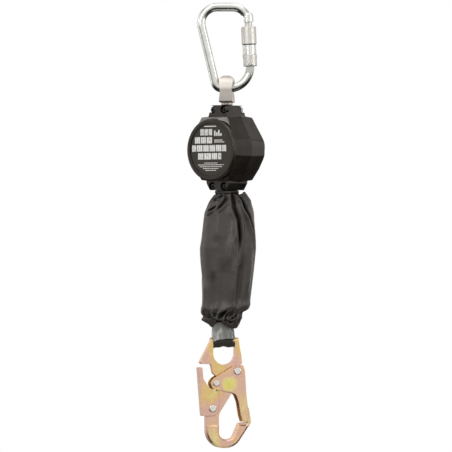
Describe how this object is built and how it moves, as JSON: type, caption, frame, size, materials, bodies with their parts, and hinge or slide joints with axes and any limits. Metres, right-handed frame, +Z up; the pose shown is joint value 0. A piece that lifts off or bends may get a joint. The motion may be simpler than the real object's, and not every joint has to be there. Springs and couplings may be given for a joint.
{
  "type": "self retracting lifeline",
  "caption": "Personal self retracting lifeline with a twist lock carabiner, swivel, black housing, energy absorber in a fabric cover and a locking snap hook.",
  "frame": {"origin": "where the carabiner's top bow bears on its anchor, hanging in use", "axes": "+Z up along the hanging line, +X towards the carabiner's gate, carabiner in the XZ plane"},
  "size_m": [0.0931, 0.0913, 0.5338],
  "materials": {
    "zinc_steel": "bright zinc plated",
    "satin_steel": "satin zinc plated",
    "nickel_steel": "nickel plated forging",
    "plain_steel": "plain",
    "spring_steel": "oiled",
    "bush_bronze": "plain bearing bronze",
    "black_nylon": "moulded glossy black",
    "cover_nylon": "moulded semi gloss black",
    "label_film": "printed black film",
    "drum_nylon": "moulded matte",
    "black_screws": "glossy black",
    "webbing": "woven black polyester",
    "absorber_web": "folded tear webbing",
    "cover_fabric": "woven black nylon with a slight sheen",
    "stop_rubber": "moulded",
    "clear_sleeve": "clear heat shrink",
    "yellow_zinc": "yellow zinc dichromate",
    "rivet_steel": "bright"
  },
  "bodies": {
    "carabiner": {"carabiner_body": "zinc_steel", "carabiner_rivet": "zinc_steel"},
    "gate_unit": {"carabiner_gate": "satin_steel", "gate_ring": "zinc_steel", "sleeve_spring": "spring_steel", "gate_spring": "spring_steel"},
    "sleeve": {"twist_sleeve": "satin_steel"},
    "swivel": {"swivel_eye": "nickel_steel", "collar_bush": "nickel_steel", "swivel_washer": "plain_steel", "swivel_nut": "plain_steel"},
    "housing": {"front_shell": "black_nylon", "rear_shell": "black_nylon", "front_cover": "cover_nylon", "label_disc": "label_film", "rear_cover": "black_nylon", "shell_screws": "black_screws", "shell_nuts": "plain_steel", "load_bracket": "plain_steel", "axle_bushes": "bush_bronze", "spring_cup": "drum_nylon", "retraction_spring": "spring_steel", "ratchet_ring": "plain_steel", "web_guide": "plain_steel", "web_nozzle": "black_nylon", "web_run": "webbing"},
    "drum": {"drum_axle": "plain_steel", "web_drum": "drum_nylon", "drum_flanges": "plain_steel", "web_coil": "webbing", "axle_clips": "plain_steel", "pawl_carrier": "plain_steel", "pawl_pins": "plain_steel", "spring_arbor": "bush_bronze"},
    "first_pawl": {"pawl_a": "plain_steel"},
    "second_pawl": {"pawl_b": "plain_steel"},
    "line": {"web_lead": "webbing", "line_stop": "stop_rubber", "energy_absorber": "absorber_web", "fabric_cover": "cover_fabric", "hem_elastics": "stop_rubber", "shrink_tube": "clear_sleeve", "web_loop": "webbing"},
    "hook": {"hook_body": "yellow_zinc", "hook_rivets": "rivet_steel"},
    "hook_gate_unit": {"hook_gate": "yellow_zinc", "gate_lock_pin": "rivet_steel", "hook_gate_spring": "spring_steel"},
    "lever_unit": {"lock_lever": "yellow_zinc", "lever_spring": "spring_steel"}
  },
  "joints": [
    {"name": "carabiner_gate_swing", "type": "hinge", "parent": "carabiner", "child": "gate_unit", "pos_m": [0.0278, 0, -0.0622], "axis": [0, -1, 0], "range_deg": [0, 26], "stiffness_Nm_per_rad": 0.1, "springref_deg": -34.38},
    {"name": "sleeve_twist", "type": "hinge", "parent": "gate_unit", "child": "sleeve", "pos_m": [0.0278, 0, -0.0622], "axis": [-0.0454, 0, 0.999], "range_deg": [0, 90], "stiffness_Nm_per_rad": 0.02, "springref_deg": -22.92},
    {"name": "swivel_swing", "type": "hinge", "parent": "carabiner", "child": "swivel", "pos_m": [0, 0, -0.0922], "axis": [1, 0, 0], "range_deg": [-75, 75]},
    {"name": "housing_turn", "type": "hinge", "parent": "swivel", "child": "housing", "pos_m": [0, 0, -0.115], "axis": [0, 0, 1], "continuous": true},
    {"name": "line_payout", "type": "slide", "parent": "housing", "child": "line", "axis": [0, 0, -1], "range_m": [0, 1.8], "stiffness_N_per_m": 9, "springref_m": -1.6, "deforming": ["web_lead"]},
    {"name": "drum_turn", "type": "hinge", "parent": "housing", "child": "drum", "pos_m": [0, 0, -0.1663], "axis": [0.6428, 0.766, 0], "range_deg": [-10, 5440]},
    {"name": "first_pawl_swing", "type": "hinge", "parent": "drum", "child": "first_pawl", "pos_m": [0.02294, 0.00712, -0.1663], "axis": [0.6428, 0.766, 0], "range_deg": [0, 10], "stiffness_Nm_per_rad": 0.004, "springref_deg": -17.19},
    {"name": "second_pawl_swing", "type": "hinge", "parent": "drum", "child": "second_pawl", "pos_m": [0.00303, 0.02383, -0.1663], "axis": [0.6428, 0.766, 0], "range_deg": [0, 10], "stiffness_Nm_per_rad": 0.004, "springref_deg": -17.19},
    {"name": "hook_swing", "type": "hinge", "parent": "line", "child": "hook", "pos_m": [-0.0043, 0, -0.395], "axis": [0.9613, 0.2756, 0], "range_deg": [-50, 50]},
    {"name": "hook_gate_swing", "type": "hinge", "parent": "hook", "child": "hook_gate_unit", "pos_m": [0.0107, 0.0043, -0.4312], "axis": [-0.2756, 0.9613, 0], "range_deg": [0, 18], "stiffness_Nm_per_rad": 0.08, "springref_deg": -34.38},
    {"name": "lock_lever_press", "type": "hinge", "parent": "hook", "child": "lever_unit", "pos_m": [-0.01853, -0.00408, -0.4758], "axis": [-0.2756, 0.9613, 0], "range_deg": [0, 7], "stiffness_Nm_per_rad": 0.05, "springref_deg": -28.65}
  ],
  "couplings": [
    {"joint": "drum_turn", "follows": "line_payout", "rad_per_m": 52.6}
  ]
}
